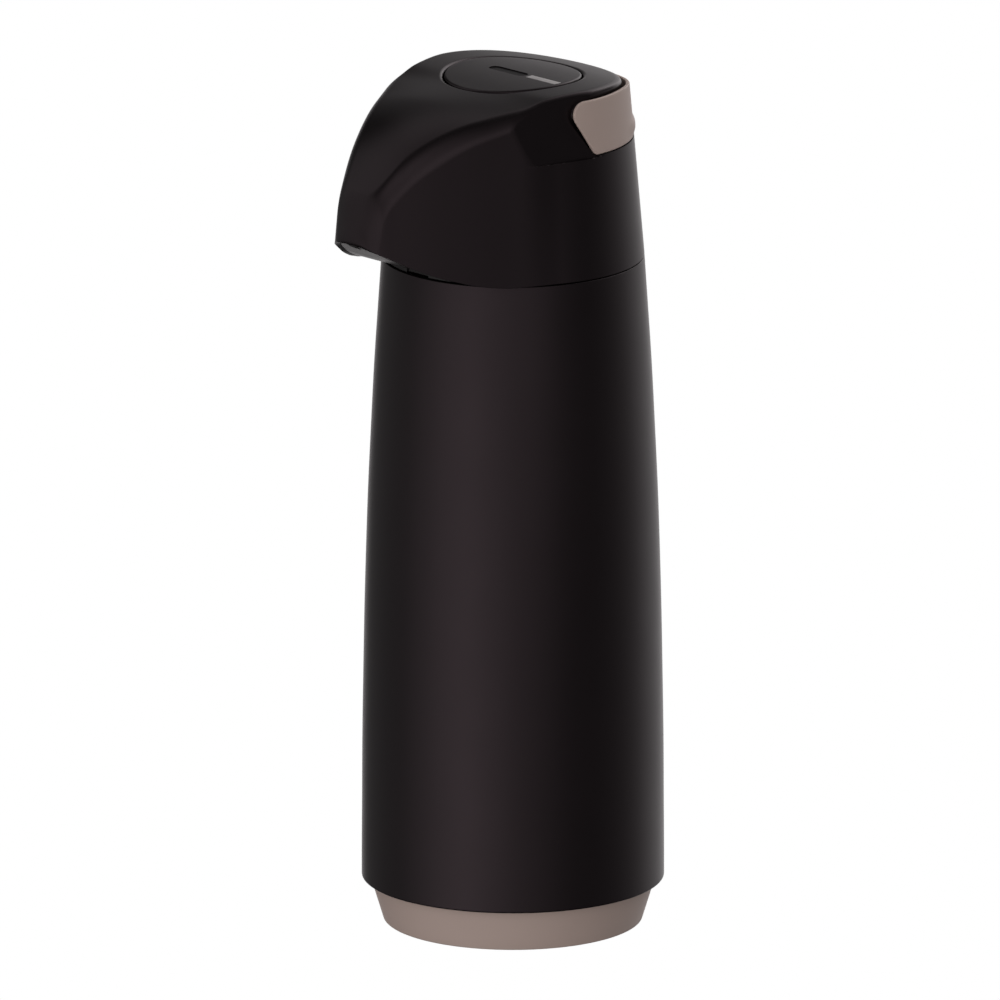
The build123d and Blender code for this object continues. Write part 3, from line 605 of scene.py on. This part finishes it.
# ================================================================== BASE CAP
k = (BASE_R1 - BASE_R0) / (BASE_H + 0.2)
p = rounded([(0.02, 1.8, 0), (44.6, 1.8, 0.2), (45.4, 0.15, 0.3), (BASE_R0 + 0.35, 0.04, 0.9),
             (BASE_R1 + k * 0.3, BASE_H + 0.6, 0.3), (57.3, BASE_H + 1.4, 0.2), (57.3, 29.8, 0.4), (55.2, 29.8, 0.4),
             (55.2, 20.0, 0.6), (54.0, BASE_H + 0.5, 1.0), (49.6, 4.4, 1.0), (0.02, 4.4, 0)], 7)
p = densify(p, 3.0)
base = obj("base_ring", fix_out(ring_solid("base_ring", p, n=360)))
ribs = []
for r0, h in ((18.0, 11.6), (30.0, 14.0)):
    ribs.append(fix_out(ring_solid("rib", rounded([(r0 - 1, 4.0, 0), (r0 + 1, 4.0, 0), (r0 + 1, h, 0.4), (r0 - 1, h, 0.4)], 3), n=160)))
for i, me in enumerate(ribs):
    boolean(base, obj("rib%d" % i, me), "UNION")
shade(base.data, 30)


# ============================================================= CARRYING BAND
def cone_r(z):
    return HEAD_R - DRAFT * z


def band_top(a):
    return PIV_Z + EAR_R - np.where(a < -15.0, 0.0038 * (-a - 15.0) ** 2, 0.0)


UREF = 47.0
BT, ER2 = 1.5, 0.4              # thickness, edge rounding


def sheet_pt(u, z, depth):
    """Sheet coordinates (arc length from the rear, height above seam, depth) to space."""
    phi = u / UREF
    bump = 0.85 * np.exp(-(np.abs(z - 53.1) / 2.6) ** 3.2) * smoothstep((62.0 - np.degrees(np.abs(phi))) / 14.0)
    inner = smoothstep(depth / BT)
    r = cone_r(z) - depth + bump * (1 - inner)
    return np.stack([r * np.sin(phi), r * np.cos(phi), SEAM + z], -1)


low, arc = ear_side(0.0, n_arc=26)
tip = int(np.argmax(arc[:, 0]))
# half outlines from the rear centre to the ear's foremost point, in (u, z)
def to_u(a, z):
    return UREF * np.arccos(np.clip(-a / cone_r(z), -1, 1))


bot = low[1:]
u_b = to_u(bot[:, 0], bot[:, 1])
bot_uz = np.vstack([np.c_[np.linspace(0, u_b[0], 60)[:-1], np.full(59, BAND_Z0)], np.c_[u_b, bot[:, 1]],
                    np.c_[to_u(arc[:tip + 1, 0], arc[:tip + 1, 1]), arc[:tip + 1, 1]]])
up = arc[tip:][::-1]
u_t = to_u(up[:, 0], up[:, 1])
uu = np.linspace(0, u_t[0], 60)[:-1]
zz_t = BAND_Z0 + 20 + 0 * uu
for _ in range(6):
    zz_t = band_top(-cone_r(zz_t) * np.cos(uu / UREF))
top_uz = np.vstack([np.c_[uu, zz_t], np.c_[u_t, up[:, 1]]])


def resample(p, n):
    d = np.r_[0, np.cumsum(np.hypot(*np.diff(p, axis=0).T))]
    s = np.linspace(0, 1, n) * d[-1]
    return np.c_[np.interp(s, d, p[:, 0]), np.interp(s, d, p[:, 1])]


NS, NW = 150, 26
bot_h, top_h = resample(bot_uz, NS), resample(top_uz, NS)
bot_f = np.vstack([bot_h[::-1] * [-1, 1], bot_h[1:]])       # left ear tip .. rear .. right ear tip
top_f = np.vstack([top_h[::-1] * [-1, 1], top_h[1:]])
loop2 = np.vstack([bot_f, top_f[::-1][1:-1]])               # closed outline, counter-clockwise
tn = np.roll(loop2, -1, 0) - np.roll(loop2, 1, 0)
tn /= np.hypot(*tn.T)[:, None]
nrm = np.c_[tn[:, 1], -tn[:, 0]]
NL = len(loop2)
nf = len(bot_f)


def inset(d):
    return loop2 - nrm * d


ins = inset(ER2)
b_in, t_in = ins[:nf], np.vstack([ins[:1], ins[nf:][::-1], ins[nf - 1:nf]])
verts, faces = [], []


def face_grid(depth, flip):
    base_i = len(verts)
    rowsg = []
    for i in range(nf):
        if i in (0, nf - 1):
            verts.append(tuple(sheet_pt(b_in[i, 0], b_in[i, 1], depth)))
            rowsg.append([len(verts) - 1] * NW)
            continue
        w = np.linspace(0, 1, NW)
        u = b_in[i, 0] + (t_in[i, 0] - b_in[i, 0]) * w
        z = b_in[i, 1] + (t_in[i, 1] - b_in[i, 1]) * w
        pts = sheet_pt(u, z, np.full(NW, depth))
        idx = []
        for v in pts:
            verts.append(tuple(v)); idx.append(len(verts) - 1)
        rowsg.append(idx)
    for i in range(nf - 1):
        for j in range(NW - 1):
            f = [rowsg[i][j], rowsg[i + 1][j], rowsg[i + 1][j + 1], rowsg[i][j + 1]]
            f = list(dict.fromkeys(f))
            if len(f) > 2:
                faces.append(f[::-1] if flip else f)
    ringi = [r[0] for r in rowsg] + [rowsg[i][-1] for i in range(nf - 2, 0, -1)]
    return ringi


ring_a = face_grid(0.0, False)
ring_b = face_grid(BT, True)
prev = ring_a
th5 = np.radians([22.5, 45, 67.5, 90])
levels = [(ER2 - ER2 * math.sin(t), ER2 * (1 - math.cos(t))) for t in th5]
levels += [(ER2 - ER2 * math.sin(t), BT - ER2 * (1 - math.cos(t))) for t in th5[::-1]]
for dd, dep in levels:
    pp = inset(dd)
    pts = sheet_pt(pp[:, 0], pp[:, 1], np.full(NL, dep))
    cur = []
    for v in pts:
        verts.append(tuple(v)); cur.append(len(verts) - 1)
    for i in range(NL):
        j = (i + 1) % NL
        faces.append([prev[j], prev[i], cur[i], cur[j]])
    prev = cur
for i in range(NL):
    j = (i + 1) % NL
    faces.append([prev[j], prev[i], ring_b[i], ring_b[j]])
band = obj("carry_band", fix_out(to_mesh("carry_band", verts, faces)))
for sx in (1, -1):
    x0, x1 = sorted((sx * 43.1, sx * 45.2))
    boolean(band, rod_x("boss", 4.2, x0, x1, -PIV_A, SEAM + PIV_Z, e=0.3), "UNION")
    x0, x1 = sorted((sx * 40.0, sx * 44.9))
    boolean(band, rod_x("bore", 2.05, x0, x1, -PIV_A, SEAM + PIV_Z, e=0.0), "DIFFERENCE")
shade(band.data, 30)


# ==================================================================== BUTTON
def polar(name, rows, n=300):
    ang = np.linspace(0, 2 * np.pi, n, endpoint=False)
    out = np.zeros((n, len(rows), 3))
    for j, (r, z, follow) in enumerate(rows):
        x, y = r * np.sin(ang), -r * np.cos(ang)
        out[:, j] = np.stack([x, y, SEAM + z + (cen(-y) if follow else 0) + np.zeros(n)], 1)
    return obj(name, fix_out(lathe_closed(name, out)))


BR = 0.9
rows = [(r, 0.0, True) for r in np.linspace(0.6, BUTTON_R - BR, 34)]
rows += [(BUTTON_R - BR + BR * math.sin(t), -BR + BR * math.cos(t), True) for t in np.radians(np.linspace(9, 90, 10))]
rows += [(BUTTON_R, 66.0, False), (BUTTON_R, 58.0, False), (BUTTON_R, 49.8, False), (BUTTON_R - 0.3, 49.5, False),
         (BUTTON_R - 1.8, 49.5, False), (BUTTON_R - 2.0, 49.8, False), (BUTTON_R - 2.0, 60.0, False)]
rows += [(BUTTON_R - 2.0, -3.4, True), (BUTTON_R - 3.0, -2.4, True)]
rows += [(r, -2.4, True) for r in np.linspace(BUTTON_R - 5.0, 0.6, 12)]
button = polar("push_button", rows)


def slot_prism(name, cx, L, W, z0, z1, n=24):
    h = (L - W) / 2
    pts = [(cx + h + W / 2 * math.cos(t), W / 2 * math.sin(t)) for t in np.linspace(-np.pi / 2, np.pi / 2, n)]
    pts += [(cx - h + W / 2 * math.cos(t), W / 2 * math.sin(t)) for t in np.linspace(np.pi / 2, 3 * np.pi / 2, n)]
    m = len(pts)
    v = [(x, y, z0) for x, y in pts] + [(x, y, z1) for x, y in pts]
    f = [[i, (i + 1) % m, m + (i + 1) % m, m + i] for i in range(m)] + [list(range(m))[::-1], list(range(m, 2 * m))]
    return obj(name, fix_out(to_mesh(name, v, f)))


boolean(button, slot_prism("plate_recess", -2.5, 20.0, 5.2, SEAM + TOP - 0.5, SEAM + TOP + 4))
boolean(button, obj("seat", block("seat", 9.0, 25.6, -1.9, 1.9, SEAM + TOP - 1.0, SEAM + TOP + 3, r=0)))
shade(button.data, 28)
strip_me = block("pointer", 9.05, 25.55, -1.85, 1.85, SEAM + TOP - 1.0, SEAM + TOP + 0.05, r=0.22)
strip = obj("pointer_inlay", strip_me)
shade(strip.data, 50)

# ============================================================ UNDER THE NOSE
def lathe_z(name, outline, n=96):
    return fix_out(ring_solid(name, outline, n=n))


SB, SE = np.array([0, -66.0, SEAM + 50.0]), np.array([0, -81.4, SEAM + 26.6])
sd = (SE - SB) / np.linalg.norm(SE - SB)
noz = rounded([(1.8, 0, 0), (4.2, 0, 0.3), (4.2, 2.0, 0.4), (2.7, 2.0, 0.3), (2.7, 9.3, 0.4), (1.8, 9.3, 0.3)], 5)
nozzle = obj("spout_tip", place(lathe_z("spout_tip", noz), SE, sd))
shade(nozzle.data, 40)
tab = obj("latch_button", join("latch_button",
                               block("a", -7.4, 4.4, -50.2, -45.3, SEAM + 0.3, SEAM + 1.7, r=0.3),
                               block("b", -4.2, 4.2, -46.8, -45.3, SEAM - 5.0, SEAM + 6.4, r=0.25)))
shade(tab.data, 50)


# ================================================================== MATERIALS
def nodes_of(m):
    m.use_nodes = True
    t = m.node_tree
    t.nodes.clear()
    out = t.nodes.new("ShaderNodeOutputMaterial")
    b = t.nodes.new("ShaderNodeBsdfPrincipled")
    t.links.new(b.outputs[0], out.inputs[0])
    return t, b


def noise(t, vec, scale, detail=3.0, rough=0.55):
    n = t.nodes.new("ShaderNodeTexNoise")
    n.inputs["Scale"].default_value = scale
    n.inputs["Detail"].default_value = detail
    n.inputs["Roughness"].default_value = rough
    t.links.new(vec, n.inputs["Vector"])
    return n.outputs["Fac"]


def ramp(t, fac, a, b, lo=0.3, hi=0.7):
    r = t.nodes.new("ShaderNodeMapRange")
    r.inputs["From Min"].default_value = lo
    r.inputs["From Max"].default_value = hi
    r.inputs["To Min"].default_value = a
    r.inputs["To Max"].default_value = b
    t.links.new(fac, r.inputs["Value"])
    return r.outputs["Result"]


def mix_col(t, fac, a, b):
    m = t.nodes.new("ShaderNodeMix")
    m.data_type = "RGBA"
    t.links.new(fac, m.inputs[0])
    m.inputs[6].default_value = (*a, 1)
    m.inputs[7].default_value = (*b, 1)
    return m.outputs[2]


def plastic(name, col, rough=0.42, vary=0.05, grain=2600.0, depth=0.012, spec=0.5, mott=0.06, stretch=(1, 1, 1),
            sheen=(1, 1, 1)):
    """Moulded plastic with a fine spark-eroded grain, slow mottling and a little uneven gloss."""
    m = bpy.data.materials.new(name)
    t, b = nodes_of(m)
    tc = t.nodes.new("ShaderNodeTexCoord")
    mp = t.nodes.new("ShaderNodeMapping")
    mp.inputs["Scale"].default_value = stretch
    t.links.new(tc.outputs["Object"], mp.inputs["Vector"])
    v = mp.outputs["Vector"]
    slow = noise(t, v, 28.0, 4.0)
    fine = noise(t, v, grain, 2.0)
    mid = noise(t, v, grain * 0.28, 2.0)
    c0 = tuple(c * (1 - mott) for c in col)
    c1 = tuple(min(1, c * (1 + mott)) for c in col)
    t.links.new(mix_col(t, ramp(t, slow, 0, 1), c0, c1), b.inputs["Base Color"])
    add = t.nodes.new("ShaderNodeMath"); add.operation = "MULTIPLY_ADD"
    t.links.new(ramp(t, fine, -vary * 0.5, vary * 0.5), add.inputs[0])
    add.inputs[1].default_value = 1.0
    t.links.new(ramp(t, slow, rough - vary * 0.5, rough + vary * 0.5), add.inputs[2])
    t.links.new(add.outputs[0], b.inputs["Roughness"])
    h = t.nodes.new("ShaderNodeMath"); h.operation = "ADD"
    t.links.new(fine, h.inputs[0]); t.links.new(mid, h.inputs[1])
    bump = t.nodes.new("ShaderNodeBump")
    bump.inputs["Strength"].default_value = 0.35
    bump.inputs["Distance"].default_value = depth * MM
    t.links.new(h.outputs[0], bump.inputs["Height"])
    t.links.new(bump.outputs[0], b.inputs["Normal"])
    b.inputs["Specular IOR Level"].default_value = spec
    b.inputs["Specular Tint"].default_value = (*sheen, 1)
    return m


def steel(name, col=(0.62, 0.62, 0.61), rough=0.28, stretch=(1, 1, 14)):
    m = bpy.data.materials.new(name)
    t, b = nodes_of(m)
    tc = t.nodes.new("ShaderNodeTexCoord")
    mp = t.nodes.new("ShaderNodeMapping")
    mp.inputs["Scale"].default_value = stretch
    t.links.new(tc.outputs["Object"], mp.inputs["Vector"])
    f = noise(t, mp.outputs["Vector"], 900.0, 4.0)
    s = noise(t, tc.outputs["Object"], 60.0, 3.0)
    t.links.new(mix_col(t, ramp(t, s, 0, 1), tuple(c * 0.93 for c in col), col), b.inputs["Base Color"])
    t.links.new(ramp(t, f, rough - 0.08, rough + 0.1), b.inputs["Roughness"])
    bump = t.nodes.new("ShaderNodeBump")
    bump.inputs["Strength"].default_value = 0.2
    bump.inputs["Distance"].default_value = 0.00001
    t.links.new(f, bump.inputs["Height"]); t.links.new(bump.outputs[0], b.inputs["Normal"])
    b.inputs["Metallic"].default_value = 1.0
    return m


def mirror_glass(name):
    m = bpy.data.materials.new(name)
    t, b = nodes_of(m)
    tc = t.nodes.new("ShaderNodeTexCoord")
    s = noise(t, tc.outputs["Object"], 18.0, 4.0)
    t.links.new(mix_col(t, ramp(t, s, 0, 1), (0.74, 0.76, 0.78), (0.84, 0.85, 0.86)), b.inputs["Base Color"])
    t.links.new(ramp(t, s, 0.05, 0.13), b.inputs["Roughness"])
    b.inputs["Metallic"].default_value = 1.0
    b.inputs["Coat Weight"].default_value = 0.6
    return m


def milky(name, col, rough, trans, grain=1500.0):
    m = bpy.data.materials.new(name)
    t, b = nodes_of(m)
    tc = t.nodes.new("ShaderNodeTexCoord")
    s = noise(t, tc.outputs["Object"], 40.0, 4.0)
    f = noise(t, tc.outputs["Object"], grain, 2.0)
    t.links.new(mix_col(t, ramp(t, s, 0, 1), tuple(c * 0.93 for c in col), col), b.inputs["Base Color"])
    t.links.new(ramp(t, f, rough - 0.04, rough + 0.06), b.inputs["Roughness"])
    bump = t.nodes.new("ShaderNodeBump")
    bump.inputs["Strength"].default_value = 0.2
    bump.inputs["Distance"].default_value = 0.00002
    t.links.new(f, bump.inputs["Height"]); t.links.new(bump.outputs[0], b.inputs["Normal"])
    b.inputs["Transmission Weight"].default_value = trans
    return m


BLACK_SPEC, BLACK_SHEEN = 0.3, (1.0, 0.78, 0.86)
M = {
    "body_black": plastic("satin_black", (0.0050, 0.0043, 0.0045), rough=0.32, vary=0.04, spec=BLACK_SPEC, depth=0.010,
                          mott=0.08, sheen=BLACK_SHEEN),
    "taupe": plastic("satin_taupe", (0.575, 0.458, 0.404), rough=0.46, vary=0.05, spec=0.5, depth=0.014, mott=0.02),
    "inner_black": plastic("plain_black", (0.011, 0.010, 0.010), rough=0.5, vary=0.08, spec=0.35, depth=0.02, mott=0.1),
    "rubber_black": plastic("pad_rubber", (0.018, 0.018, 0.018), rough=0.75, vary=0.1, spec=0.3, grain=1400, depth=0.05, mott=0.15),
    "rubber_grey": plastic("soft_rubber", (0.12, 0.12, 0.12), rough=0.7, vary=0.1, spec=0.35, grain=1400, depth=0.04, mott=0.1),
    "silvered_glass": mirror_glass("silvered_glass"),
    "natural_plastic": milky("natural_pp", (0.72, 0.72, 0.69), 0.38, 0.15),
    "silicone": milky("clear_silicone", (0.62, 0.61, 0.58), 0.45, 0.25),
    "steel": steel("stainless"),
    "light_grey": plastic("grey_inlay", (0.50, 0.485, 0.48), rough=0.42, vary=0.05, spec=0.5, depth=0.012, mott=0.03),
}
# nose underside plate: base colour painted lighter than the body's black, painted light standing in for the light the
# underside catches from below
plate_painted_light_mat = plastic("plate_grey_painted_light", (0.032, 0.029, 0.029), rough=0.34, vary=0.08, spec=0.5, depth=0.02, mott=0.1)
recess_mat = plastic("recess_black", (0.0085, 0.0075, 0.0078), rough=0.6, vary=0.1, spec=0.22, grain=1900, depth=0.03, mott=0.12)


def finish_with(o, mat):
    o.data.materials.clear()
    o.data.materials.append(mat)


slots = {s["node"]: s["material_slot"] for s in frame["record"].get("subparts", [])}
# the nose cover gets the plate whose lighter colour is painted light; every other node gets its slot's material
for n_, o in frame["nodes"].items():
    finish_with(o, plate_painted_light_mat if n_ == "nose_cover" else M[slots.get(n_, "inner_black")])

for o, body, nodes, sl in (
        (head, "lid", ["head_shell"], "body_black"), (shell, "root", ["outer_shell"], "body_black"),
        (base, "root", ["base_cap"], "taupe"), (band, "handle", ["handle_band"], "taupe"),
        (button, "button", ["button_cap"], "body_black"), (strip, "button", ["pointer_strip"], "light_grey"),
        (nozzle, "lid", ["spout_nozzle"], "inner_black"), (tab, "latch", ["latch_tab"], "inner_black")):
    finish_with(o, M[sl])
    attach(o, body)
    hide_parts(*nodes)

# the bare plate recess on the button is a little duller than the button around it
button.data.materials.append(recess_mat)
for pl in button.data.polygons:
    c = pl.center / MM
    if abs(c.z - (SEAM + TOP - 0.5)) < 0.02 and abs(c.y) < 2.7 and -12.8 < c.x < 7.8:
        pl.material_index = 1

# ======================================================================= STAGE
fl = to_mesh("floor", [(-9000, -9000, -0.3), (9000, -9000, -0.3), (9000, 9000, -0.3), (-9000, 9000, -0.3)], [[0, 1, 2, 3]])
floor = obj("floor", fl)
fm = bpy.data.materials.new("floor_white")
fm.use_nodes = True
ft = fm.node_tree
ft.nodes.clear()
fo = ft.nodes.new("ShaderNodeOutputMaterial")
fe = ft.nodes.new("ShaderNodeEmission")
fe.inputs["Color"].default_value = (1, 1, 1, 1)
fe.inputs["Strength"].default_value = 1.0
ft.links.new(fe.outputs[0], fo.inputs[0])
finish_with(floor, fm)
floor.visible_diffuse = False
floor.visible_glossy = False
floor.visible_transmission = False
floor.visible_shadow = False

# soft studio surround: brightness by compass direction at three heights
AZ, EL = 46.0, 14.88
world = bpy.data.worlds.new("studio")
S.world = world
world.use_nodes = True
wt = world.node_tree
wt.nodes.clear()
wo = wt.nodes.new("ShaderNodeOutputWorld")
tc = wt.nodes.new("ShaderNodeTexCoord")
sp = wt.nodes.new("ShaderNodeSeparateXYZ")
wt.links.new(tc.outputs["Generated"], sp.inputs[0])


def math_node(op, a, b=None):
    m = wt.nodes.new("ShaderNodeMath"); m.operation = op
    for i, v in enumerate((a, b)):
        if v is None:
            continue
        if isinstance(v, (int, float)):
            m.inputs[i].default_value = v
        else:
            wt.links.new(v, m.inputs[i])
    return m.outputs[0]


# direction towards the camera in plan, and the direction to its right
tx, ty = math.sin(math.radians(AZ)), -math.cos(math.radians(AZ))
rx, ry = math.cos(math.radians(AZ)), math.sin(math.radians(AZ))
fwd = math_node("ADD", math_node("MULTIPLY", sp.outputs[0], tx), math_node("MULTIPLY", sp.outputs[1], ty))
rgt = math_node("ADD", math_node("MULTIPLY", sp.outputs[0], rx), math_node("MULTIPLY", sp.outputs[1], ry))
az = math_node("DIVIDE", math_node("ARCTAN2", rgt, fwd), math.pi)                 # -1 .. 1
az01 = math_node("MULTIPLY_ADD", az, 0.5)
az01.node.inputs[2].default_value = 0.5
el = math_node("MULTIPLY", math_node("ARCSINE", sp.outputs[2]), 180 / math.pi)


def az_ramp(stops):
    """Light by compass direction, degrees right of the camera, seen from the object."""
    r = wt.nodes.new("ShaderNodeValToRGB")
    r.color_ramp.interpolation = "EASE"
    e = r.color_ramp.elements
    while len(e) > 1:
        e.remove(e[0])
    for i, (a, v) in enumerate(stops):
        at = (a / 180.0 + 1) / 2
        k_ = e[0] if i == 0 else e.new(at)
        k_.position = at
        k_.color = (v, v, v, 1)
    wt.links.new(az01, r.inputs[0])
    return r


# brightness of the surround: elevation of each band, then its stops
LIGHT = [
    (-45, [(-180, 0.00), (-120, 0.00), (-60, 0.00), (0, 0.00), (60, 0.00), (120, 0.00),
           (180, 0.00)]),
    (-14, [(-180, 1.10), (-150, 0.15), (-120, 0.19), (-95, 0.25), (-75, 0.67), (-55, 1.31),
           (-35, 1.71), (-15, 1.21), (5, 0.61), (25, 0.35), (45, 0.16), (65, 0.18), (85, 0.25),
           (105, 0.36), (125, 0.60), (150, 0.56), (180, 1.10)]),
    (12, [(-180, 0.28), (-150, 0.00), (-110, 0.47), (-80, 0.61), (-50, 0.47), (-20, 0.35), (15, 1.36),
           (45, 0.56), (65, 0.00), (85, 0.00), (105, 0.36), (130, 0.00), (155, 1.51), (180, 0.28)]),
    (35, [(-180, 0.15), (-140, 0.00), (-100, 0.78), (-60, 0.00), (-20, 1.19), (20, 0.44), (60, 0.00),
           (100, 0.68), (140, 2.75), (180, 0.15)]),
    (60, [(-180, 0.60), (-120, 0.73), (-60, 0.00), (0, 0.27), (60, 0.00), (120, 0.97),
           (180, 0.60)]),
    (85, [(-180, 0.00), (180, 0.00)]),
]


def blend_el(e0, e1, a, b):
    f = wt.nodes.new("ShaderNodeMapRange")
    f.interpolation_type = "SMOOTHSTEP"
    f.inputs["From Min"].default_value = e0
    f.inputs["From Max"].default_value = e1
    wt.links.new(el, f.inputs["Value"])
    m = wt.nodes.new("ShaderNodeMix"); m.data_type = "RGBA"
    wt.links.new(f.outputs["Result"], m.inputs[0])
    wt.links.new(a, m.inputs[6]); wt.links.new(b, m.inputs[7])
    return m.outputs[2]


ramps = [az_ramp(st) for _, st in LIGHT]
env = ramps[0].outputs[0]
for i in range(1, len(LIGHT)):
    env = blend_el(LIGHT[i - 1][0], LIGHT[i][0], env, ramps[i].outputs[0])
tint = wt.nodes.new("ShaderNodeMix"); tint.data_type = "RGBA"; tint.blend_type = "MULTIPLY"
tint.inputs[0].default_value = 1.0
tint.inputs[7].default_value = (1.0, 0.965, 0.97, 1)
wt.links.new(env, tint.inputs[6])
bg = wt.nodes.new("ShaderNodeBackground")
wt.links.new(tint.outputs[2], bg.inputs["Color"])
white = wt.nodes.new("ShaderNodeBackground")
white.inputs["Color"].default_value = (1, 1, 1, 1)
lp = wt.nodes.new("ShaderNodeLightPath")
mx = wt.nodes.new("ShaderNodeMixShader")
wt.links.new(lp.outputs["Is Camera Ray"], mx.inputs[0])
wt.links.new(bg.outputs[0], mx.inputs[1])
wt.links.new(white.outputs[0], mx.inputs[2])
wt.links.new(mx.outputs[0], wo.inputs[0])
world.cycles.sampling_method = "MANUAL"
world.cycles.sample_map_resolution = 512

S.view_settings.view_transform = "Standard"
S.view_settings.look = "None"
S.view_settings.exposure = 0.0
S.view_settings.gamma = 1.0

# ====================================================================== CAMERA
DIST = 16.25
ce, se = math.cos(math.radians(EL)), math.sin(math.radians(EL))
aim = Vector((0, 0, 0.17091))
side_shift = Vector((rx, ry, 0)) * -0.00513
pos = aim + Vector((tx * ce, ty * ce, se)) * DIST
cam = bpy.data.cameras.new("camera")
cam.sensor_width = 36.0
cam.lens = 1476.9
cam.clip_start, cam.clip_end = 1.0, 100.0
co_ = bpy.data.objects.new("camera", cam)
S.collection.objects.link(co_)
co_.location = pos + side_shift
co_.rotation_euler = (aim - pos).to_track_quat("-Z", "Y").to_euler()
S.camera = co_

bpy.context.view_layer.update()
